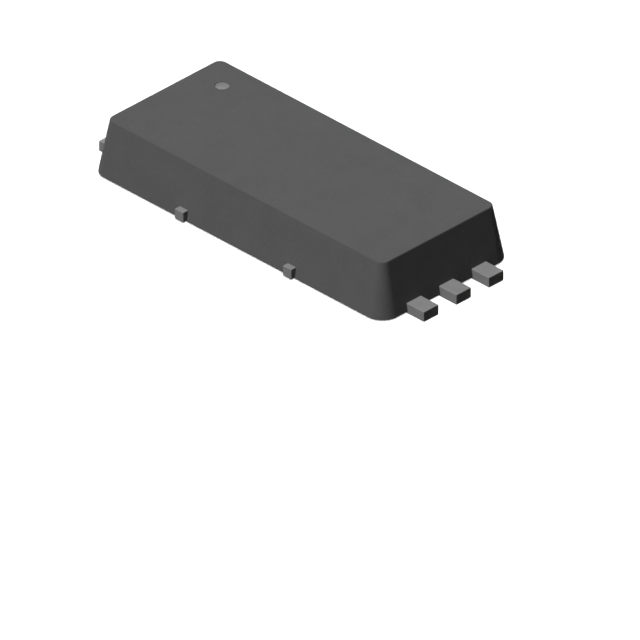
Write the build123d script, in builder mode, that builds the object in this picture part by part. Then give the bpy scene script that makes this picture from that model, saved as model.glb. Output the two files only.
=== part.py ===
from build123d import *
from math import radians, tan
import os

# A flat-lead power package with two transistor dies on one open drain pad.
# X runs along the package towards leads 4 to 6, Y across it, Z up from the board.
# The origin is the middle of the footprint, on the plane that the lead feet stand on.

# Moulded body, its base being the widest section
body_length = 4.50
body_width = 2.00
body_height = 0.66
draft_angle = 11.0
corner_radius = 0.22
standoff = 0.03

# Etched copper strip that the pad and the leads are cut from
strip_thickness = 0.127
half_etch = 0.065

# Leads: a full-thickness foot, and a half-etched post that the wires are bonded to
lead_pitch = 0.50
lead_width = 0.225
lead_projection = 0.25
foot_inside = 0.25
post_length = 0.40
post_spacing = 0.14

# Drain pad with a half-etched rim, stepped tabs and tie bars to the long sides
post_to_pad = 0.265
pad_side_margin = 0.325
rim_overhang = 0.05
tie_spacing = 1.66
tab_length = 0.33
tab_depth = 0.13
tie_width = 0.13
tie_projection = 0.05

# Dies and the solder under them
die_gap = 0.28
die_end_margin = 0.175
die_side_margin = 0.125
die_thickness = 0.15
solder_thickness = 0.02
solder_fillet = 0.03

# Metal on the dies: one large source pad with a corner left free for the gate pad
metal_thickness = 0.005
metal_margin = 0.05
gate_pad_size = 0.22
metal_gap = 0.04

# Bond wires
wire_diameter = 0.05
wires_per_source_lead = 2
wire_spacing = 0.16
bond_inset = 0.28
loop_height = 0.12
loop_flat = 0.34
ball_diameter = 0.10
ball_height = 0.02
ball_taper = 25
stitch_length = 0.10
stitch_width = 0.075
stitch_height = 0.015
rise_radius = 0.04
fall_radius = 0.12
heel_radius = 0.10

# Pin 1 mark, let into the top face
mark_diameter = 0.16
mark_depth = 0.015
mark_from_end = 0.406
mark_from_side = 0.374

# Places that follow from the sizes above
body_top = standoff + body_height
draft_run = body_height * tan(radians(draft_angle))
foot_inner = body_length / 2 - foot_inside
foot_outer = body_length / 2 + lead_projection
post_inner = foot_inner - post_length
post_width = lead_pitch - post_spacing
pad_length = 2 * (post_inner - post_to_pad)
pad_width = body_width - 2 * pad_side_margin
pad_top = standoff + strip_thickness
die_length = (pad_length - die_gap) / 2 - die_end_margin
die_width = pad_width - 2 * die_side_margin
die_centre = (die_gap + die_length) / 2
die_outer = die_centre + die_length / 2
die_bottom = pad_top + solder_thickness
die_top = die_bottom + die_thickness
metal_top = die_top + metal_thickness
gate_centre_x = die_outer - metal_margin - gate_pad_size / 2
gate_centre_y = -die_width / 2 + metal_margin + gate_pad_size / 2

# The two ends mirror each other: leads 1 to 3 count down the -X end, 4 to 6 up the +X end
row_outer_source = lead_pitch
row_inner_source = 0
row_gate = -lead_pitch
leads = [
    ("lead_1_source_1", -1, row_outer_source),
    ("lead_2_source_1", -1, row_inner_source),
    ("lead_3_gate_1", -1, row_gate),
    ("lead_4_gate_2", 1, row_gate),
    ("lead_5_source_2", 1, row_inner_source),
    ("lead_6_source_2", 1, row_outer_source),
]

inner_parts = []
os.makedirs("parts", exist_ok=True)


def finish_piece(piece, name):
    """Label a finished piece, write it, and keep it for the mould to flow round."""
    piece.part.label = name
    export_step(piece.part, f"parts/{name}.step")
    inner_parts.append(piece.part)


# Drain pad: the open face is the stepped outline, and the rim grips the mould above it
with BuildPart() as drain_pad:
    with BuildSketch(Plane.XY.offset(standoff)):
        Rectangle(pad_length, pad_width)
        with GridLocations(tie_spacing, 0, 2, 1):
            Rectangle(tab_length, pad_width + 2 * tab_depth)
            Rectangle(tie_width, body_width + 2 * tie_projection)
    extrude(amount=strip_thickness)
    with BuildSketch(Plane.XY.offset(standoff + half_etch)):
        Rectangle(pad_length + 2 * rim_overhang, pad_width + 2 * rim_overhang)
    extrude(amount=strip_thickness - half_etch)
finish_piece(drain_pad, "drain_pad")

# Leads
for name, side, row in leads:
    with BuildPart() as lead:
        with BuildSketch(Plane.XY):
            with Locations((side * (foot_inner + foot_outer) / 2, row)):
                Rectangle(foot_outer - foot_inner, lead_width)
        extrude(amount=strip_thickness)
        with BuildSketch(Plane.XY.offset(half_etch)):
            with Locations((side * (foot_inner + post_inner) / 2, row)):
                Rectangle(post_length, post_width)
        extrude(amount=strip_thickness - half_etch)
    finish_piece(lead, name)

# Dies, each with its solder below and its metal above
for number, side in ((1, -1), (2, 1)):
    with BuildPart() as die_solder:
        for height, spread in ((pad_top, solder_fillet), (die_bottom, 0)):
            with BuildSketch(Plane.XY.offset(height)):
                with Locations((side * die_centre, 0)):
                    Rectangle(die_length + 2 * spread, die_width + 2 * spread)
        loft()
    finish_piece(die_solder, f"die_solder_{number}")

    with BuildPart() as die:
        with BuildSketch(Plane.XY.offset(die_bottom)):
            with Locations((side * die_centre, 0)):
                Rectangle(die_length, die_width)
        extrude(amount=die_thickness)
    finish_piece(die, f"die_{number}")

    with BuildPart() as gate_metal:
        with BuildSketch(Plane.XY.offset(die_top)):
            with Locations((side * gate_centre_x, gate_centre_y)):
                Rectangle(gate_pad_size, gate_pad_size)
        extrude(amount=metal_thickness)
    finish_piece(gate_metal, f"gate_metal_{number}")

    with BuildPart() as source_metal:
        with BuildSketch(Plane.XY.offset(die_top)):
            with Locations((side * die_centre, 0)):
                Rectangle(die_length - 2 * metal_margin, die_width - 2 * metal_margin)
            with Locations((side * gate_centre_x, gate_centre_y)):
                Rectangle(
                    gate_pad_size + 2 * metal_gap, gate_pad_size + 2 * metal_gap, mode=Mode.SUBTRACT
                )
        extrude(amount=metal_thickness)
    finish_piece(source_metal, f"source_metal_{number}")


def bond_wire(name, start, end):
    """Write one wire, looped in the upright plane from a ball on the die to a stitch on the post."""
    run = Vector(end[0] - start[0], end[1] - start[1])
    along = run.normalized()
    upright = Plane(origin=(start[0], start[1], 0), x_dir=along, z_dir=(along.Y, -along.X, 0))
    tail_height = strip_thickness + stitch_height
    loop_top = metal_top + loop_height
    with BuildPart() as wire:
        with BuildLine(upright) as path:
            FilletPolyline(
                (0, metal_top + ball_height / 2),
                (0, loop_top),
                (loop_flat, loop_top),
                (run.length - stitch_length, tail_height),
                (run.length, tail_height),
                radius=[rise_radius, fall_radius, heel_radius],
            )
        with BuildSketch(Plane(origin=path.line @ 0, z_dir=path.line % 0)):
            Circle(wire_diameter / 2)
        sweep()
        with BuildSketch(Plane.XY.offset(metal_top)):
            with Locations((start[0], start[1])):
                Circle(ball_diameter / 2)
        extrude(amount=ball_height, taper=ball_taper)
        stitch_plane = Plane(
            origin=(end[0], end[1], strip_thickness), x_dir=along, z_dir=(0, 0, 1)
        )
        with BuildSketch(stitch_plane):
            with Locations((-stitch_length / 2, 0)):
                Rectangle(stitch_length, stitch_width)
        extrude(amount=stitch_height)
        split(bisect_by=Plane.XY.offset(strip_thickness), keep=Keep.TOP)
    finish_piece(wire, name)


# Source wires leave evenly spaced balls on the source metal, in the order of the leads they reach
post_bond_x = (foot_inner + post_inner) / 2 + stitch_length / 2
source_low_y = gate_centre_y + gate_pad_size / 2 + metal_gap
source_high_y = die_width / 2 - metal_margin
source_rows = [row_inner_source, row_outer_source]
source_wire_count = wires_per_source_lead * len(source_rows)
ball_pitch = (source_high_y - source_low_y) / source_wire_count
for number, side in ((1, -1), (2, 1)):
    for index in range(source_wire_count):
        place_on_lead = index % wires_per_source_lead - (wires_per_source_lead - 1) / 2
        post_y = source_rows[index // wires_per_source_lead] + place_on_lead * wire_spacing
        bond_wire(
            f"source_{number}_wire_{index + 1}",
            (side * (die_outer - bond_inset), source_low_y + (index + 0.5) * ball_pitch),
            (side * post_bond_x, post_y),
        )
    bond_wire(
        f"gate_{number}_wire",
        (side * gate_centre_x, gate_centre_y),
        (side * post_bond_x, row_gate),
    )

# Pin 1 mark
mark_x = -(body_length / 2 - draft_run - mark_from_end)
mark_y = body_width / 2 - draft_run - mark_from_side
with BuildPart() as pin_1_mark:
    with BuildSketch(Plane.XY.offset(body_top - mark_depth)):
        with Locations((mark_x, mark_y)):
            Circle(mark_diameter / 2)
    extrude(amount=mark_depth)
finish_piece(pin_1_mark, "pin_1_mark")

# Moulded body, filled round everything inside it
with BuildPart() as mould_body:
    with BuildSketch(Plane.XY.offset(standoff)):
        RectangleRounded(body_length, body_width, corner_radius)
    extrude(amount=body_height, taper=draft_angle)
    for piece in inner_parts:
        add(piece, mode=Mode.SUBTRACT)
mould_body.part.label = "mould_body"
export_step(mould_body.part, "parts/mould_body.step")
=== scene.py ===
# %% [markdown]
# # A small power transistor package
#
# The real thing is a dark block of moulded epoxy, 4.5 by 2 mm and 0.66 mm high. Three flat leads
# come out at each end, and a stepped copper pad lies open on the underside, with its four cut
# tie bars showing along the long sides. Two dies, their solder and ten bond wires are sealed in.
#
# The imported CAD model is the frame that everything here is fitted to. Pieces of it whose shape
# is right stay, with a better finish. The others are made again with the small radii and other
# traces that moulding, etching and bonding leave, since it is on those that light catches. Sizes
# and places that the boxes of its nodes show are read from it, and the others are written here.

# %% Load the frame
import math

import bmesh
import bpy
from mathutils import Matrix, Vector


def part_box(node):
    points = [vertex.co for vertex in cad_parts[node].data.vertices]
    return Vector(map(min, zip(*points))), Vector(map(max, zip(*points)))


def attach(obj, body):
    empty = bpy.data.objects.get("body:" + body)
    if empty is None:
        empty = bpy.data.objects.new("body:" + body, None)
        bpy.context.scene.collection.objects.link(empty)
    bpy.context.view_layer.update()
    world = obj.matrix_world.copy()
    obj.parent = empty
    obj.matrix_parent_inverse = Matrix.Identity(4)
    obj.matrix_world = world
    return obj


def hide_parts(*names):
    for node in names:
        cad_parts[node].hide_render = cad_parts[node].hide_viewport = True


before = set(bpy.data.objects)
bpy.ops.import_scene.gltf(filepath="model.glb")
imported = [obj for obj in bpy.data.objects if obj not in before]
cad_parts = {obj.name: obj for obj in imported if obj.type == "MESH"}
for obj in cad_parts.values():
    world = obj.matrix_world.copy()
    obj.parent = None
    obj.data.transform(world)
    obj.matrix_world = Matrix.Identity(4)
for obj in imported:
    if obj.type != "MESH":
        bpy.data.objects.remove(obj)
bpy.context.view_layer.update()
scene = bpy.context.scene
MM = 0.001
print("CAD nodes:", len(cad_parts))


# %% Sizes from the frame
def cad_corners(node):
    """The low and the high corner of a CAD node's box, in millimetres."""
    return [[round(c / MM, 4) for c in corner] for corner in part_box(node)]


def middle_of(low, high):
    """The middle between two corners, along X and Y."""
    return [(a + b) / 2 for a, b in zip(low[:2], high[:2])]


lead_low, lead_high = cad_corners("lead_5_source_2")
block_low, block_high = cad_corners("mould_body")
body_length = block_high[0] - block_low[0]
body_width = block_high[1] - block_low[1]
standoff = block_low[2]
block_top = block_high[2]
print("Block in mm:", body_length, "by", body_width, "from", standoff, "up to", block_top)

# %% [markdown]
# ## Camera
#
# The picture to match is a parallel view: edges that are parallel on the package stay parallel in
# it. So the camera is orthographic, and it looks down by 31.87 degrees from midway between the
# side and the end. The package sits in the upper half of the picture, which is done by aiming at
# a point below it, so the lens itself isn't shifted.

# %% Camera
view_azimuth = math.radians(45)
view_elevation = math.radians(31.87)
view_width = 6.957 * MM
aim_right = 0.2040 * MM
aim_down = 1.7226 * MM
camera_distance = 12 * MM

to_right = Vector((math.cos(view_azimuth), math.sin(view_azimuth), 0))
to_camera = Vector((
    math.sin(view_azimuth) * math.cos(view_elevation),
    -math.cos(view_azimuth) * math.cos(view_elevation),
    math.sin(view_elevation),
))
upwards = to_camera.cross(to_right)
aim = Vector((0, 0, block_top * MM)) + to_right * aim_right - upwards * aim_down

camera_data = bpy.data.cameras.new("camera")
camera_data.type = "ORTHO"
camera_data.ortho_scale = view_width
camera_data.clip_start = 0.1 * MM
camera_data.clip_end = 1
camera = bpy.data.objects.new("camera", camera_data)
camera.rotation_mode = "QUATERNION"
camera.location = aim + to_camera * camera_distance
camera.rotation_quaternion = (-to_camera).to_track_quat("-Z", "Y")
scene.collection.objects.link(camera)
scene.camera = camera
print("Camera looks at, in mm:", [round(c / MM, 3) for c in aim])

# %% [markdown]
# ## Node helpers
#
# Materials, the world and the Geometry Nodes trees are all node trees. These helpers add one node
# or one sum, and fill its sockets with a value or with another node's output.


# %% Node helpers
def fill(tree, node, key, value):
    """Fill a socket, known by its name or its place, with a value or another node's output."""
    if isinstance(value, bpy.types.Node):
        value = value.outputs[0]
    if isinstance(value, bpy.types.NodeSocket):
        tree.links.new(value, node.inputs[key])
    else:
        node.inputs[key].default_value = value


def put(tree, kind, sockets=None, **settings):
    """Add a node to a tree, choose its settings and fill its sockets."""
    node = tree.nodes.new(kind)
    for name, value in settings.items():
        setattr(node, name, value)
    for key, value in (sockets or {}).items():
        fill(tree, node, key, value)
    return node


def number(tree, operation, first, second=0.0, clamp=False):
    """One step of arithmetic on numbers."""
    return put(tree, "ShaderNodeMath", {0: first, 1: second}, operation=operation, use_clamp=clamp)


def vector(tree, operation, first, second=(0, 0, 0)):
    """One step of arithmetic on vectors."""
    return put(tree, "ShaderNodeVectorMath", {0: first, 1: second}, operation=operation)


# %% [markdown]
# ## World and floor
#
# The background is white for the eye, and in reflections, but both world and floor are dim for
# the light that they pass on, so that the dark end of the block stays dark. The floor keeps the
# block's shadow. From below it lets the eye and the underside lamp through, and it lies two
# thousandths of a millimetre under the feet so that the two faces never fight.

# %% World
white = (1, 1, 1, 1)
dim = (0.025, 0.025, 0.025, 1)


def seen_directly(tree):
    """1 for rays that show the background itself: camera, mirror and glass rays."""
    path = put(tree, "ShaderNodeLightPath").outputs
    direct = number(tree, "MAXIMUM", path["Is Camera Ray"], path["Is Glossy Ray"])
    return number(tree, "MAXIMUM", direct, path["Is Transmission Ray"])


world = bpy.data.worlds.new("studio")
world.use_nodes = True
tree = world.node_tree
tree.nodes.clear()
shown = put(tree, "ShaderNodeBackground", {"Color": white})
passed_on = put(tree, "ShaderNodeBackground", {"Color": dim})
mixed = put(tree, "ShaderNodeMixShader", {0: seen_directly(tree), 1: passed_on, 2: shown})
put(tree, "ShaderNodeOutputWorld", {"Surface": mixed})
scene.world = world
scene.view_settings.view_transform = "Standard"
print("World:", world.name)

# %% Floor
floor_gap = 0.002 * MM
floor_reach = 100 * MM
floor_data = bpy.data.meshes.new("floor")
floor_data.from_pydata(
    [(x * floor_reach, y * floor_reach, -floor_gap) for x, y in ((-1, -1), (1, -1), (1, 1), (-1, 1))],
    [], [(0, 1, 2, 3)],
)
floor = bpy.data.objects.new("floor", floor_data)
scene.collection.objects.link(floor)

floor_paint = bpy.data.materials.new("floor_paint")
floor_paint.use_nodes = True
tree = floor_paint.node_tree
tree.nodes.clear()
shown = put(tree, "ShaderNodeBsdfDiffuse", {"Color": white})
passed_on = put(tree, "ShaderNodeBsdfDiffuse", {"Color": dim})
mixed = put(tree, "ShaderNodeMixShader", {0: seen_directly(tree), 1: passed_on, 2: shown})
from_below = put(tree, "ShaderNodeNewGeometry").outputs["Backfacing"]
to_a_lamp = put(tree, "ShaderNodeLightPath").outputs["Is Shadow Ray"]
let_through = number(tree, "MAXIMUM", to_a_lamp, from_below)
clear = put(tree, "ShaderNodeBsdfTransparent")
surface = put(tree, "ShaderNodeMixShader", {0: let_through, 1: mixed, 2: clear})
put(tree, "ShaderNodeOutputMaterial", {"Surface": surface})
floor_data.materials.append(floor_paint)
print("Floor:", floor.name)

# %% [markdown]
# ## Light
#
# A plain soft key lamp stands high over the long side that runs from lead 3 to lead 4. It makes
# the top the brightest face, that side a little darker, and the end with leads 4 to 6 much
# darker. One weak lamp keeps the far side and the far end from going black. One lamp shines
# straight up and reaches nothing but the underside, for views from below. Level 1 is the light
# at which a white face shows as plain white, so a finish renders about as its colour is written.
#
# These lamps would drag grey shadows over a floor that is bare in the picture. So they spare it,
# and it has two soft lamps of its own. One shines from a little over the camera, so its shadow
# lies behind the block, and one from straight above keeps that shadow pale.


# %% Lamps
def add_lamp(name, direction, level, softness):
    """A sun that stands in this direction and fills `softness` degrees of the sky."""
    lamp_data = bpy.data.lights.new(name, "SUN")
    lamp_data.energy = math.pi * level
    lamp_data.angle = math.radians(softness)
    lamp = bpy.data.objects.new(name, lamp_data)
    lamp.rotation_mode = "QUATERNION"
    lamp.rotation_quaternion = Vector(direction).to_track_quat("Z", "Y")
    scene.collection.objects.link(lamp)
    print(name, "level", round(level, 3), "from", [round(c, 2) for c in direction])
    return lamp


def link_to_floor(lamp, state):
    """Let a lamp light the floor alone (INCLUDE), or everything but the floor (EXCLUDE)."""
    group = bpy.data.collections.new(lamp.name + "_link")
    group.objects.link(floor)
    group.collection_objects[0].light_linking.link_state = state
    lamp.light_linking.receiver_collection = group


# The length of the key light is its level, so each number is what a face square to that axis gets
key_light = Vector((-0.045, -0.625, 0.865))
key_lamp = add_lamp("key_lamp", key_light, level=key_light.length, softness=15)
far_lamp = add_lamp("far_lamp", (-1, 1, 0.2), level=0.42, softness=20)
floor_lamp = add_lamp("floor_lamp", (0.5, -0.5, 0.6), level=1.55, softness=15)
overhead_lamp = add_lamp("overhead_lamp", (0, 0, 1), level=0.45, softness=15)
add_lamp("underside_lamp", (0, 0, -1), level=0.95, softness=8)
for lamp, state in (
    (key_lamp, "EXCLUDE"), (far_lamp, "EXCLUDE"), (floor_lamp, "INCLUDE"), (overhead_lamp, "INCLUDE"),
):
    link_to_floor(lamp, state)

# %% [markdown]
# ## Finishes
#
# Every finish is worked out from the object's own coordinates, so it neither slides nor needs an
# unwrapped mesh. Sizes of grain are written in metres. A noise of size s repeats about every s,
# and the camera shows 11 thousandths of a millimetre to a pixel, so finer grain than that is felt
# as matte rather than seen.


# %% Finish helpers
def start_finish(name, metallic, specular):
    """A material with its shader, and the object's coordinates to build patterns on."""
    material = bpy.data.materials.new(name)
    material.use_nodes = True
    tree = material.node_tree
    tree.nodes.clear()
    shader = put(
        tree, "ShaderNodeBsdfPrincipled", {"Metallic": metallic, "Specular IOR Level": specular}
    )
    put(tree, "ShaderNodeOutputMaterial", {"Surface": shader})
    place = put(tree, "ShaderNodeTexCoord").outputs["Object"]
    return material, tree, shader, place


def noise(tree, place, size, detail=2.0, stretch=(1, 1, 1)):
    """Soft noise that repeats about every `size` metres, more along the axes that stretch it."""
    shrunk = vector(tree, "MULTIPLY", place, tuple(1 / (size * s) for s in stretch))
    return put(tree, "ShaderNodeTexNoise", {"Vector": shrunk, "Scale": 1.0, "Detail": detail})


def cells(tree, place, size):
    """Distance to the nearest of scattered points that lie about `size` metres apart."""
    shrunk = vector(tree, "MULTIPLY", place, (1 / size,) * 3)
    return put(tree, "ShaderNodeTexVoronoi", {"Vector": shrunk, "Scale": 1.0})


def spread(tree, pattern, low, high, start=0.3, end=0.7):
    """Turn a pattern's middle range into a number between low and high."""
    return put(
        tree, "ShaderNodeMapRange",
        {"Value": pattern, "From Min": start, "From Max": end, "To Min": low, "To Max": high},
    )


def blend(tree, share, first, second):
    """Mix two colours, each three numbers or a socket, by a number from 0 to 1."""
    first, second = (c if isinstance(c, bpy.types.NodeSocket) else (*c, 1) for c in (first, second))
    return put(
        tree, "ShaderNodeMix", {0: share, 6: first, 7: second}, data_type="RGBA"
    ).outputs[2]


def relief(tree, shader, height, depth):
    """Let a pattern stand out of the surface by `depth` metres."""
    bump = put(tree, "ShaderNodeBump", {"Height": height, "Distance": depth, "Strength": 1.0})
    tree.links.new(bump.outputs[0], shader.inputs["Normal"])


# %% [markdown]
# ## Moulding compound
#
# The block is epoxy filled with ground silica. Up close it is an even dark grey with a fine
# grain from the spark-cut mould, faint clouds where the filler gathered, and here and there a
# pale filler grain that lies at the surface.

# %% Moulding compound
darker_cloud = (0.097, 0.097, 0.099)
paler_cloud = (0.104, 0.104, 0.106)
filler_grey = (0.135, 0.135, 0.135)

dark_epoxy, tree, shader, place = start_finish("dark_epoxy", metallic=0.0, specular=0.05)
grain = noise(tree, place, size=0.016 * MM, detail=3.0)
clouds = spread(tree, noise(tree, place, size=0.30 * MM), low=0.0, high=1.0)
filler = spread(
    tree, cells(tree, place, size=0.055 * MM), low=0.45, high=0.0, start=0.12, end=0.20
)
clouded = blend(tree, clouds, darker_cloud, paler_cloud)
fill(tree, shader, "Base Color", blend(tree, filler, clouded, filler_grey))
fill(tree, shader, "Roughness", spread(tree, grain, low=0.70, high=0.85))
relief(tree, shader, grain, depth=0.0016 * MM)
print("Finish:", dark_epoxy.name)

# %% [markdown]
# ## Tin plate
#
# Leads and pad are copper strip under matte tin. Tin grows in grains of about two hundredths of
# a millimetre, and the strip's rolling lines, along the package, show through faintly. The
# sides were etched, not rolled, which leaves them a little duller than the flats, but most of
# their darker colour is painted shade, so that upright faces read as shaded. The tips of the
# leads were sheared after plating, down to bare copper, and their near-black colour is painted
# shade of the end faces.

# %% Tin plate
tip_reach = lead_high[0] * MM
plating_end = tip_reach - 0.004 * MM
bare_start = tip_reach - 0.001 * MM
rolling_share = 0.5

matte_tin, tree, shader, place = start_finish("matte_tin", metallic=0.03, specular=0.04)
crystals = cells(tree, place, size=0.018 * MM)
rolling = noise(tree, place, size=0.012 * MM, stretch=(14, 1, 1))
patches = spread(tree, noise(tree, place, size=0.14 * MM), low=0.0, high=1.0)

rolled = blend(tree, patches, (0.244, 0.244, 0.246), (0.266, 0.266, 0.268))
# Painted shade: upright faces get this darker copy of the tin colour, so the sides read as shaded
etched_and_shaded = blend(tree, patches, (0.188, 0.188, 0.190), (0.206, 0.206, 0.208))
facing = put(tree, "ShaderNodeNewGeometry").outputs["Normal"]
upright = number(tree, "ABSOLUTE", put(tree, "ShaderNodeSeparateXYZ", {0: facing}).outputs["Z"])
flat = spread(tree, upright, low=0.0, high=1.0, start=0.3, end=0.8)
plated_and_side_shaded = blend(tree, flat, etched_and_shaded, rolled)

outward = number(tree, "ABSOLUTE", put(tree, "ShaderNodeSeparateXYZ", {0: place}).outputs["X"])
# Painted shade: the outer ends of the leads are darkened to near black, standing in for the shade on
# the end faces
sheared_and_shaded_tips = spread(tree, outward, low=0.0, high=1.0, start=plating_end, end=bare_start)
streaks = spread(tree, rolling, low=0.0, high=1.0)
bare_copper_and_tip_shade = blend(tree, streaks, (0.051, 0.049, 0.047), (0.069, 0.067, 0.065))

fill(tree, shader, "Base Color", blend(tree, sheared_and_shaded_tips, plated_and_side_shaded, bare_copper_and_tip_shade))
fill(tree, shader, "Roughness", spread(tree, crystals, low=0.42, high=0.56, start=0.1, end=0.7))
height = number(tree, "ADD", crystals, number(tree, "MULTIPLY", rolling, rolling_share))
relief(tree, shader, height, depth=0.0010 * MM)
print("Finish:", matte_tin.name)

# %% [markdown]
# ## Finishes inside the block
#
# The dies are silicon, ground flat and sawn apart, so they show fine upright saw lines on a
# blue-grey body. The metal on them is an aluminium film with a fine grain, the solder under them
# froze in soft swirls, and the wires are drawn copper. The pin 1 mark is burned in line by line,
# which leaves a pale hatch. Each is one noise with its own size, stretch and colours.


# %% Finishes inside the block
def one_noise_finish(name, metallic, specular, first, second, roughness, size, stretch, depth):
    """A finish of one noise: it mixes two colours, varies the roughness and stands out a little."""
    material, tree, shader, place = start_finish(name, metallic, specular)
    pattern = noise(tree, place, size, detail=3.0, stretch=stretch)
    share = spread(tree, pattern, low=0.0, high=1.0)
    fill(tree, shader, "Base Color", blend(tree, share, first, second))
    fill(tree, shader, "Roughness", spread(tree, pattern, *roughness))
    relief(tree, shader, pattern, depth)
    print("Finish:", name)
    return material


sawn_silicon = one_noise_finish(
    "sawn_silicon", metallic=0.25, specular=0.5,
    first=(0.13, 0.14, 0.17), second=(0.19, 0.20, 0.23), roughness=(0.25, 0.40),
    size=0.006 * MM, stretch=(1, 1, 12), depth=0.0006 * MM,
)
set_solder = one_noise_finish(
    "set_solder", metallic=0.8, specular=0.5,
    first=(0.42, 0.42, 0.43), second=(0.56, 0.56, 0.57), roughness=(0.30, 0.50),
    size=0.040 * MM, stretch=(1, 1, 1), depth=0.0015 * MM,
)
aluminium_film = one_noise_finish(
    "aluminium_film", metallic=0.8, specular=0.4,
    first=(0.60, 0.61, 0.63), second=(0.70, 0.71, 0.73), roughness=(0.45, 0.60),
    size=0.008 * MM, stretch=(1, 1, 1), depth=0.0004 * MM,
)
drawn_copper = one_noise_finish(
    "drawn_copper", metallic=0.9, specular=0.5,
    first=(0.68, 0.37, 0.24), second=(0.80, 0.47, 0.32), roughness=(0.22, 0.36),
    size=0.004 * MM, stretch=(10, 1, 4), depth=0.0003 * MM,
)
burned_mark = one_noise_finish(
    "burned_mark", metallic=0.0, specular=0.2,
    first=(0.193, 0.193, 0.194), second=(0.221, 0.221, 0.222), roughness=(0.55, 0.75),
    size=0.007 * MM, stretch=(6, 1, 1), depth=0.0010 * MM,
)

# %% Finish the dies, their solder and their metal
for start, finish in (
    ("die_solder", set_solder), ("die_1", sawn_silicon), ("die_2", sawn_silicon),
    ("source_metal", aluminium_film), ("gate_metal", aluminium_film),
):
    for name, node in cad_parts.items():
        if name.startswith(start):
            node.data.materials.clear()
            node.data.materials.append(finish)
            print(name, "keeps its CAD shape and is finished as", finish.name)

# %% [markdown]
# ## Bench
#
# Some of Blender's mesh tools treat points closer than a ten-thousandth of a metre as one, and
# the radii here are smaller than that. So each piece is made at bench scale, one unit to the
# millimetre, and shrunk into its place when it is finished. From here on, all sizes are in
# millimetres, like those that were read from the frame.


# %% Bench helpers
same_point = 1e-5
sliver_width = 2e-5
same_height = 1e-4
sharp_turn = math.radians(30)


def apply_modifiers(piece):
    """Turn what the modifiers make into the piece's own mesh."""
    depsgraph = bpy.context.evaluated_depsgraph_get()
    made = bpy.data.meshes.new_from_object(piece.evaluated_get(depsgraph), depsgraph=depsgraph)
    piece.modifiers.clear()
    piece.data = made


def edit_mesh(data, change):
    """Open a mesh, let `change` work on it, write it back, and return what `change` returns."""
    opened = bmesh.new()
    opened.from_mesh(data)
    answer = change(opened)
    opened.to_mesh(data)
    opened.free()
    return answer


def open_edges(opened):
    """How many edges don't have exactly two faces; a closed solid has none."""
    return sum(not edge.is_manifold for edge in opened.edges)


def clear_slivers(opened):
    """Merge points that a cut left almost on each other, and drop the faces this leaves empty."""
    before = len(opened.faces)
    bmesh.ops.remove_doubles(opened, verts=opened.verts, dist=sliver_width)
    bmesh.ops.dissolve_degenerate(opened, edges=opened.edges, dist=sliver_width)
    return before - len(opened.faces)


def mark_sharp(opened):
    """Shade every face smooth, and mark the edges that turn sharply."""
    for face in opened.faces:
        face.smooth = True
    for edge in opened.edges:
        edge.smooth = edge.calc_face_angle(0.0) < sharp_turn
    return sum(not edge.smooth for edge in opened.edges)


def split_faces(opened):
    """Split many-sided faces, and four-sided ones whose two corners have an edge across them."""
    first_face = opened.faces.layers.int.new("first_face")
    for face in opened.faces:
        face[first_face] = face.index
    many_sided = [face for face in opened.faces if len(face.verts) > 4]
    bmesh.ops.triangulate(opened, faces=many_sided, ngon_method="BEAUTY")
    crossed = 0
    for face in [face for face in opened.faces if len(face.verts) == 4]:
        a, b, c, d = face.verts
        for across, other in (((a, c), (b, d)), ((b, d), (a, c))):
            if len(face.verts) == 4 and opened.edges.get(across):
                bmesh.utils.face_split(face, *other)
                crossed += 1
    return len(many_sided), crossed


def split_as_shaded(data):
    """Split a mesh's faces, and give every corner the normal that it had before."""
    shading = {
        (face.index, data.loops[corner].vertex_index): data.corner_normals[corner].vector.copy()
        for face in data.polygons for corner in face.loop_indices
    }
    split = edit_mesh(data, split_faces)
    first_face = data.attributes["first_face"]
    data.normals_split_custom_set([
        shading[first_face.data[face.index].value, data.loops[corner].vertex_index]
        for face in data.polygons for corner in face.loop_indices
    ])
    data.attributes.remove(first_face)
    return split


def finish_piece(piece, slot, *nodes):
    """Shrink a piece from the bench into place, to stand for the CAD nodes that it replaces."""
    piece.data.transform(Matrix.Scale(MM, 4))
    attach(piece, "root")
    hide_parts(*nodes)
    loose = edit_mesh(piece.data, open_edges)
    print(piece.name, "faces", len(piece.data.polygons), "open edges", loose)


# %% [markdown]
# ## Trees
#
# What is cut from strip, bent along a path or swept round an outline follows a rule, so a
# Geometry Nodes tree makes it, and each piece feeds the tree with its own sizes. A tree here has
# named inputs in millimetres, numbers or vectors, and ends by realizing its instances and setting
# the finish.


# %% Tree helpers
def start_tree(name, sizes):
    """A Geometry Nodes tree with these named sizes as its inputs."""
    tree = bpy.data.node_groups.new(name, "GeometryNodeTree")
    tree.is_modifier = True
    for label, size in sizes.items():
        kind = "NodeSocketVector" if isinstance(size, tuple) else "NodeSocketFloat"
        tree.interface.new_socket(label, in_out="INPUT", socket_type=kind).default_value = size
    tree.interface.new_socket("Finish", in_out="INPUT", socket_type="NodeSocketMaterial")
    tree.interface.new_socket("Geometry", in_out="OUTPUT", socket_type="NodeSocketGeometry")
    return tree, tree.nodes.new("NodeGroupInput").outputs


def end_tree(tree, given, geometry):
    """Realize what was instanced, shade it smooth, set its finish and close the tree."""
    realized = put(tree, "GeometryNodeRealizeInstances", {"Geometry": geometry})
    smooth = put(tree, "GeometryNodeSetShadeSmooth", {"Geometry": realized})
    painted = put(
        tree, "GeometryNodeSetMaterial", {"Geometry": smooth, "Material": given["Finish"]}
    )
    put(tree, "NodeGroupOutput", {"Geometry": painted})


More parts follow.
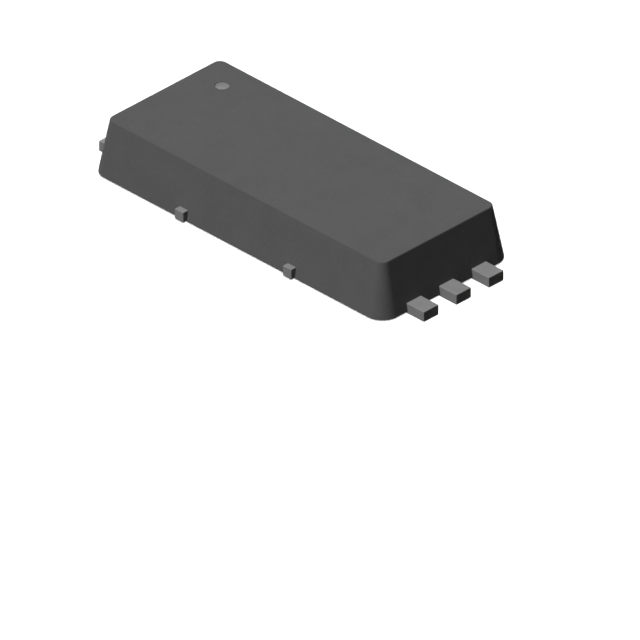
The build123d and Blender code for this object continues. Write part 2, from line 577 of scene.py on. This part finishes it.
def run_tree(tree, name, finish, sizes):
    """Make a piece from a tree, with its inputs set before it is first evaluated."""
    piece = bpy.data.objects.new(name, bpy.data.meshes.new(name))
    modifier = piece.modifiers.new("shape", "NODES")
    modifier.node_group = tree
    for socket in tree.interface.items_tree:
        if socket.in_out == "INPUT" and socket.name in sizes:
            modifier[socket.identifier] = sizes[socket.name]
        if socket.name == "Finish":
            modifier[socket.identifier] = finish
    scene.collection.objects.link(piece)
    apply_modifiers(piece)
    return piece


def joined(tree, solids):
    """Solids that overlap, made into one without inner walls."""
    union = put(tree, "GeometryNodeMeshBoolean", operation="UNION", solver="EXACT")
    for solid in solids:
        tree.links.new(solid.outputs[0], union.inputs["Mesh 2"])
    return union


# %% [markdown]
# ## Leads
#
# A lead is a full-thickness foot, 0.225 mm wide, that is half inside the block, and a wider post
# behind it, etched away from below, which the wires are bonded to. The compound flows under the
# post and locks the lead in. One tree joins the two, and is run once for each of the six leads.
# Etching and plating leave small radii on all edges, which a Bevel modifier adds.


# %% Edges of the strip
strip_thickness = lead_high[2]
half_etch = 0.065
strip_edge = 0.007


def round_edges(piece):
    """Round every edge that turns sharply, as etching does."""
    bevel = piece.modifiers.new("edges", "BEVEL")
    bevel.width = strip_edge
    bevel.segments = 3
    bevel.limit_method = "ANGLE"
    bevel.angle_limit = sharp_turn
    bevel.harden_normals = True
    apply_modifiers(piece)


def strip_block(tree, size, centre):
    """A flat block of the strip."""
    cube = put(tree, "GeometryNodeMeshCube", {"Size": size})
    return put(tree, "GeometryNodeTransform", {"Geometry": cube, "Translation": centre})


# %% Leads
lead_pitch = 0.50
lead_width = 0.225
foot_inside = 0.25

foot_inner = body_length / 2 - foot_inside
foot_outer = lead_high[0]
post_inner = lead_low[0]
post_width = lead_high[1] - lead_low[1]

lead_tree, given = start_tree("lead", {
    "Foot size": (foot_outer - foot_inner, lead_width, strip_thickness),
    "Foot centre": (0, 0, 0),
    "Post size": (foot_inner - post_inner, post_width, strip_thickness - half_etch),
    "Post centre": (0, 0, 0),
})
foot = strip_block(lead_tree, given["Foot size"], given["Foot centre"])
post = strip_block(lead_tree, given["Post size"], given["Post centre"])
end_tree(lead_tree, given, joined(lead_tree, [foot, post]))

leads = {}
for node_name, side, row in (
    ("lead_1_source_1", -1, lead_pitch),
    ("lead_2_source_1", -1, 0),
    ("lead_3_gate_1", -1, -lead_pitch),
    ("lead_4_gate_2", 1, -lead_pitch),
    ("lead_5_source_2", 1, 0),
    ("lead_6_source_2", 1, lead_pitch),
):
    leads[node_name] = run_tree(lead_tree, "tinned_" + node_name, matte_tin, {
        "Foot centre": (side * (foot_outer + foot_inner) / 2, row, strip_thickness / 2),
        "Post centre": (side * (foot_inner + post_inner) / 2, row, (strip_thickness + half_etch) / 2),
    })
    round_edges(leads[node_name])
print("Leads:", len(leads), "from", post_inner, "out to", foot_outer, "mm")

# %% [markdown]
# ## Drain pad
#
# The open face of the pad is stepped: the plate itself, two tabs that widen it, and two tie bars
# that once held it in the strip and were cut just outside the block. A half-etched rim round the
# plate grips the compound above it. The tabs and the bars are one block each, set on two points.


# %% Drain pad
rim_overhang = 0.05
pad_width = 1.35
tab_length = 0.33
tab_depth = 0.13
tie_width = 0.13
tie_spacing = 1.66

pad_low, pad_high = cad_corners("drain_pad")
pad_length = pad_high[0] - pad_low[0] - 2 * rim_overhang
tie_length = pad_high[1] - pad_low[1]


def strip_pair(tree, size, given):
    """The same block of the strip at both places along the pad."""
    cube = put(tree, "GeometryNodeMeshCube", {"Size": size})
    places = put(tree, "GeometryNodeMeshLine", {
        "Count": 2, "Start Location": given["First tie bar"], "Offset": given["Tie spacing"],
    })
    both = put(tree, "GeometryNodeInstanceOnPoints", {"Points": places, "Instance": cube})
    return put(tree, "GeometryNodeRealizeInstances", {"Geometry": both})


pad_middle = standoff + strip_thickness / 2
pad_tree, given = start_tree("drain_pad", {
    "Plate size": (pad_length, pad_width, strip_thickness),
    "Plate centre": (0, 0, pad_middle),
    "Rim size": (
        pad_length + 2 * rim_overhang, pad_width + 2 * rim_overhang, strip_thickness - half_etch,
    ),
    "Rim centre": (0, 0, standoff + (strip_thickness + half_etch) / 2),
    "Tab size": (tab_length, pad_width + 2 * tab_depth, strip_thickness),
    "Tie bar size": (tie_width, tie_length, strip_thickness),
    "First tie bar": (-tie_spacing / 2, 0, pad_middle),
    "Tie spacing": (tie_spacing, 0, 0),
})
end_tree(pad_tree, given, joined(pad_tree, [
    strip_block(pad_tree, given["Plate size"], given["Plate centre"]),
    strip_block(pad_tree, given["Rim size"], given["Rim centre"]),
    strip_pair(pad_tree, given["Tab size"], given),
    strip_pair(pad_tree, given["Tie bar size"], given),
]))
pad = run_tree(pad_tree, "tinned_drain_pad", matte_tin, {})
round_edges(pad)
print("Pad: faces", len(pad.data.polygons))

# %% [markdown]
# ## Bond wires
#
# A bonding machine melts the wire's end to a ball and presses it on the die's metal, pays out a
# loop, and squashes the wire flat on the lead's post. So one tree bends a path through five
# points, sweeps a round section along it, presses the tail flat and wide, and joins a squashed
# ball to the other end. Ten wires feed it with their two ends.


# %% Bent paths
def bent_path(tree, points, radii, steps):
    """A line through these points, rounded at each by its radius."""
    index = put(tree, "GeometryNodeInputIndex")

    def by_index(kind, values):
        """Give each point of the line its own value; a new switch has two places for them."""
        switch = put(tree, "GeometryNodeIndexSwitch", data_type=kind)
        for _ in values[2:]:
            switch.index_switch_items.new()
        for place, value in enumerate([index, *values]):
            fill(tree, switch, place, value)
        return switch

    corners = put(
        tree, "GeometryNodePoints", {"Count": len(points), "Position": by_index("VECTOR", points)}
    )
    line = put(tree, "GeometryNodePointsToCurves", {"Points": corners})
    return put(
        tree, "GeometryNodeFilletCurve",
        {"Curve": line, "Count": steps, "Radius": by_index("FLOAT", radii)}, mode="POLY",
    )


# %% Bond wire tree
stitch_length = 0.10

wire_tree, given = start_tree("bond_wire", {
    "Ball": (0, 0, 0), "Stitch": (0, 0, 0), "Loop height": 0.12, "Loop flat": 0.34,
    "Rise radius": 0.04, "Fall radius": 0.12, "Heel radius": 0.10, "Wire radius": 0.025,
    "Ball radius": 0.05, "Ball height": 0.02, "Tail length": stitch_length, "Tail height": 0.015,
})


def raised(place, height):
    """That place, moved up by a height."""
    return vector(wire_tree, "ADD", place, put(wire_tree, "ShaderNodeCombineXYZ", {"Z": height}))


def along_by(length):
    """A step of that length along the wire's ground track."""
    return put(wire_tree, "ShaderNodeVectorMath", {0: along, "Scale": length}, operation="SCALE")


half_ball = number(wire_tree, "MULTIPLY", given["Ball height"], 0.5)
track = vector(wire_tree, "SUBTRACT", given["Stitch"], given["Ball"])
along = vector(wire_tree, "NORMALIZE", vector(wire_tree, "MULTIPLY", track, (1, 1, 0)))
loop_start = raised(given["Ball"], given["Loop height"])
loop_end = vector(wire_tree, "ADD", loop_start, along_by(given["Loop flat"]))
tail_end = raised(given["Stitch"], given["Tail height"])
tail_start = vector(wire_tree, "SUBTRACT", tail_end, along_by(given["Tail length"]))
path = bent_path(
    wire_tree,
    [raised(given["Ball"], half_ball), loop_start, loop_end, tail_start, tail_end],
    [0.0, given["Rise radius"], given["Fall radius"], given["Heel radius"], 0.0],
    steps=6,
)
section = put(
    wire_tree, "GeometryNodeCurvePrimitiveCircle", {"Resolution": 16, "Radius": given["Wire radius"]}
)
tube = put(
    wire_tree, "GeometryNodeCurveToMesh", {"Curve": path, "Profile Curve": section, "Fill Caps": True}
)

# %% Press the tail and the ball
tail_widening = 0.5
tail_flattening = 0.5
ball_flattening = 0.7
far_past_the_ball = (-1, -1, 0)

position = put(wire_tree, "GeometryNodeInputPosition")
from_tail = vector(wire_tree, "SUBTRACT", position, tail_start)
run = vector(wire_tree, "DOT_PRODUCT", from_tail, along).outputs["Value"]
share = number(wire_tree, "DIVIDE", run, given["Tail length"], clamp=True)
sideways = vector(wire_tree, "CROSS_PRODUCT", along, (0, 0, 1))
off_centre = vector(wire_tree, "DOT_PRODUCT", from_tail, sideways).outputs["Value"]
widening = number(
    wire_tree, "MULTIPLY", off_centre, number(wire_tree, "MULTIPLY", share, tail_widening)
)
wider = put(wire_tree, "ShaderNodeVectorMath", {0: sideways, "Scale": widening}, operation="SCALE")
above_post = put(
    wire_tree, "ShaderNodeSeparateXYZ", {0: vector(wire_tree, "SUBTRACT", position, given["Stitch"])}
).outputs["Z"]
kept_height = number(
    wire_tree, "SUBTRACT", 1.0, number(wire_tree, "MULTIPLY", share, tail_flattening)
)
pressed = number(
    wire_tree, "MULTIPLY", number(wire_tree, "MAXIMUM", above_post, 0.0), kept_height
)
lowering = put(
    wire_tree, "ShaderNodeCombineXYZ", {"Z": number(wire_tree, "SUBTRACT", pressed, above_post)}
)
pressed_tube = put(wire_tree, "GeometryNodeSetPosition", {
    "Geometry": tube, "Offset": vector(wire_tree, "ADD", wider, lowering),
})

ball_scale = put(wire_tree, "ShaderNodeCombineXYZ", {
    "X": given["Ball radius"], "Y": given["Ball radius"],
    "Z": number(wire_tree, "MULTIPLY", given["Ball height"], ball_flattening),
})
sphere = put(wire_tree, "GeometryNodeMeshUVSphere", {"Segments": 24, "Rings": 12, "Radius": 1.0})
ball = put(wire_tree, "GeometryNodeTransform", {
    "Geometry": sphere, "Translation": raised(given["Ball"], half_ball), "Scale": ball_scale,
})
# Sideways this limit lies far past the ball, so it only lifts what would hang below the metal
lowest_place = vector(wire_tree, "ADD", given["Ball"], far_past_the_ball)
above_metal = vector(
    wire_tree, "MAXIMUM", put(wire_tree, "GeometryNodeInputPosition"), lowest_place
)
squashed_ball = put(wire_tree, "GeometryNodeSetPosition", {"Geometry": ball, "Position": above_metal})
end_tree(wire_tree, given, joined(wire_tree, [pressed_tube, squashed_ball]))

# %% Ends of the bond wires
bond_inset = 0.28
metal_gap = 0.04
wire_spacing = 0.16

_, (die_outer, _, _) = cad_corners("die_2")
_, (_, source_high, metal_top) = cad_corners("source_metal_2")
gate_low, gate_high = cad_corners("gate_metal_2")
source_low = gate_high[1] + metal_gap
stitch_rows = [
    row + shift for row in (0, lead_pitch) for shift in (-wire_spacing / 2, wire_spacing / 2)
]
ball_pitch = (source_high - source_low) / len(stitch_rows)
stitch_end = (foot_inner + post_inner) / 2 + stitch_length / 2
print("Balls on the source metal are", round(ball_pitch, 4), "mm apart")

# %% Bond wires
wire_sharp_turn = math.radians(40)

wires = {}
for die_number, side in ((1, -1), (2, 1)):
    ends = {
        f"source_{die_number}_wire_{place + 1}": (
            (die_outer - bond_inset, source_low + (place + 0.5) * ball_pitch), row,
        )
        for place, row in enumerate(stitch_rows)
    }
    ends[f"gate_{die_number}_wire"] = (middle_of(gate_low, gate_high), -lead_pitch)
    for node_name, (ball_place, row) in ends.items():
        wires[node_name] = run_tree(wire_tree, "bonded_" + node_name, drawn_copper, {
            "Ball": (side * ball_place[0], ball_place[1], metal_top),
            "Stitch": (side * stitch_end, row, strip_thickness),
        })
        edit_mesh(wires[node_name].data, clear_slivers)
        wires[node_name].data.set_sharp_from_angle(angle=wire_sharp_turn)
print("Wires:", len(wires), "faces each", len(wires["gate_1_wire"].data.polygons))

# %% [markdown]
# ## Pin 1 mark
#
# The mark is burned into the top with a laser: a pocket a hundredth of a millimetre deep, with a
# pale, finely hatched floor. The floor's layer of changed compound is turned from a short outline,
# and so is the plain pocket that the block gets for it.


# %% Pin 1 mark
mark_low, mark_high = cad_corners("pin_1_mark")
mark_centre = middle_of(mark_low, mark_high)
mark_radius = (mark_high[0] - mark_low[0]) / 2
mark_bottom = mark_low[2]
mark_floor = 0.680
mark_sides = 64
floor_dip = 0.001
rim_foot_radius = 0.068
rim_middle_radius = 0.076
rim_rise = 0.003


def turn_round(name, outline, finish):
    """Turn an outline of radius and height round the mark's upright axis."""
    opened = bmesh.new()
    points = [opened.verts.new((r, 0, z)) for r, z in outline]
    edges = [opened.edges.new(ends) for ends in zip(points, points[1:])]
    bmesh.ops.spin(
        opened, geom=points + edges, cent=(0, 0, 0), axis=(0, 0, 1),
        angle=math.tau, steps=mark_sides, use_merge=True,
    )
    bmesh.ops.remove_doubles(opened, verts=opened.verts, dist=same_point)
    bmesh.ops.recalc_face_normals(opened, faces=opened.faces)
    bmesh.ops.translate(opened, vec=(*mark_centre, 0), verts=opened.verts)
    for face in opened.faces:
        face.smooth = abs(face.normal.z) > 0.5
    data = bpy.data.meshes.new(name)
    opened.to_mesh(data)
    opened.free()
    data.materials.append(finish)
    return bpy.data.objects.new(name, data)


mark = turn_round("burned_pin_1_mark", [
    (0.0, mark_bottom), (mark_radius, mark_bottom), (mark_radius, mark_floor + rim_rise),
    (rim_middle_radius, mark_floor + floor_dip), (rim_foot_radius, mark_floor),
    (0.0, mark_floor - floor_dip),
], burned_mark)
scene.collection.objects.link(mark)
above_the_top = block_top + 0.1
mark_pocket = turn_round("mark_pocket", [
    (0.0, mark_bottom), (mark_radius, mark_bottom), (mark_radius, above_the_top), (0.0, above_the_top),
], burned_mark)
print("Mark: faces", len(mark.data.polygons), "at", [round(c, 4) for c in mark_centre])

# %% [markdown]
# ## Block of moulding compound
#
# The wall of the block is drafted by 11 degrees, so that it leaves its mould, with a sharp
# parting line at the bottom and a small radius at the top. That outline is the same all round, so
# it is a path that is swept along another path, the rounded rectangle of the footprint. The two
# openings are then filled.


# %% Sweep the wall of the block
draft_angle = math.radians(11)
block_tree, given = start_tree("moulded_block", {
    "Length": body_length, "Width": body_width, "Corner radius": 0.22, "Underside": -standoff,
    "Top": -block_top, "Wall inset": -(block_top - standoff) * math.tan(draft_angle),
    "Top edge radius": 0.012, "Top margin": 0.025,
})
rectangle = put(
    block_tree, "GeometryNodeCurvePrimitiveQuadrilateral",
    {"Width": given["Length"], "Height": given["Width"]},
)
footprint = put(
    block_tree, "GeometryNodeFilletCurve",
    {"Curve": rectangle, "Count": 12, "Radius": given["Corner radius"]}, mode="POLY",
)
inner_inset = number(block_tree, "SUBTRACT", given["Wall inset"], given["Top margin"])
wall_outline = bent_path(
    block_tree,
    [
        put(block_tree, "ShaderNodeCombineXYZ", {"Y": given["Underside"]}),
        put(block_tree, "ShaderNodeCombineXYZ", {"X": given["Wall inset"], "Y": given["Top"]}),
        put(block_tree, "ShaderNodeCombineXYZ", {"X": inner_inset, "Y": given["Top"]}),
    ],
    [0.0, given["Top edge radius"], 0.0],
    steps=4,
)
wall = put(
    block_tree, "GeometryNodeCurveToMesh", {"Curve": footprint, "Profile Curve": wall_outline}
)
end_tree(block_tree, given, wall)
block = run_tree(block_tree, "moulded_block", dark_epoxy, {})


def close_openings(opened):
    """Fill the openings at the top and the bottom, and let every face point outwards."""
    bmesh.ops.holes_fill(opened, edges=[edge for edge in opened.edges if edge.is_boundary])
    bmesh.ops.recalc_face_normals(opened, faces=opened.faces)
    return open_edges(opened)


print("Closed block: open edges", edit_mesh(block.data, close_openings))

# %% [markdown]
# ## Cavities
#
# The compound flowed round everything inside it, so all of that is cut out of the block, which
# leaves the same cavities as in the CAD model. Two faces that lie exactly on each other confuse a
# cut. So the copies that cut are let into what they sit on, and the pad's copy comes out of the
# underside.

# %% Copies that cut
seat_depth = 0.003


def cutting_copy(data, seats, scale=1.0):
    """A merged copy of a mesh, let into what it sits on at these heights."""
    def merge_and_sink(opened):
        bmesh.ops.scale(opened, vec=(scale,) * 3, verts=opened.verts)
        bmesh.ops.remove_doubles(opened, verts=opened.verts, dist=same_point)
        for point in opened.verts:
            if any(abs(point.co.z - seat) < same_height for seat in seats):
                point.co.z -= seat_depth

    copied = data.copy()
    edit_mesh(copied, merge_and_sink)
    return bpy.data.objects.new("cutter", copied)


def come_out_below(opened):
    """Draw the open face of the pad down, out of the block."""
    lowest = [
        face for face in opened.faces if face.calc_center_median().z < standoff + same_height
    ]
    drawn = bmesh.ops.extrude_face_region(opened, geom=lowest)["geom"]
    points = [part for part in drawn if isinstance(part, bmesh.types.BMVert)]
    bmesh.ops.translate(opened, vec=(0, 0, -standoff), verts=points)
    bmesh.ops.delete(opened, geom=lowest, context="FACES")
    return open_edges(opened)


pad_cutter = cutting_copy(pad.data, [])
print("Pad cutter: open edges", edit_mesh(pad_cutter.data, come_out_below))
cutters = [pad_cutter, mark_pocket]
cutters += [cutting_copy(lead.data, []) for lead in leads.values()]
cutters += [cutting_copy(wire.data, [strip_thickness, metal_top]) for wire in wires.values()]
cutters += [
    cutting_copy(node.data, [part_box(name)[0].z / MM], 1 / MM)
    for name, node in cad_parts.items()
    if name.startswith("die_") or "_metal_" in name
]
print("Cutters:", len(cutters))

# %% Cut the block
sealed_in = bpy.data.collections.new("sealed_in")
scene.collection.children.link(sealed_in)
for cutter in cutters:
    sealed_in.objects.link(cutter)
cut = block.modifiers.new("cavities", "BOOLEAN")
cut.operation = "DIFFERENCE"
cut.solver = "EXACT"
cut.operand_type = "COLLECTION"
cut.collection = sealed_in
apply_modifiers(block)
print("Slivers cleared from the cut:", edit_mesh(block.data, clear_slivers))
for cutter in cutters:
    bpy.data.objects.remove(cutter)
bpy.data.collections.remove(sealed_in)

block.data.materials.clear()
block.data.materials.append(dark_epoxy)
print("Sharp edges of the block:", edit_mesh(block.data, mark_sharp))
even = block.modifiers.new("even_shading", "WEIGHTED_NORMAL")
even.keep_sharp = True
even.mode = "FACE_AREA"
apply_modifiers(block)
print("Many-sided and crossed faces split:", split_as_shaded(block.data))
held = edit_mesh(block.data, lambda opened: opened.calc_volume())
print("Cut block: faces", len(block.data.polygons), "cubic mm", round(held, 4))

# %% [markdown]
# ## Into place
#
# Every piece made on the bench is shrunk, rides on the one body that the package has, and stands
# for the CAD node that it replaces.

# %% Into place
for node_name, lead in leads.items():
    finish_piece(lead, "plated_copper", node_name)
finish_piece(pad, "plated_copper", "drain_pad")
for node_name, wire in wires.items():
    finish_piece(wire, "wire_copper", node_name)
finish_piece(mark, "mark_ink", "pin_1_mark")
finish_piece(block, "mould_compound", "mould_body")
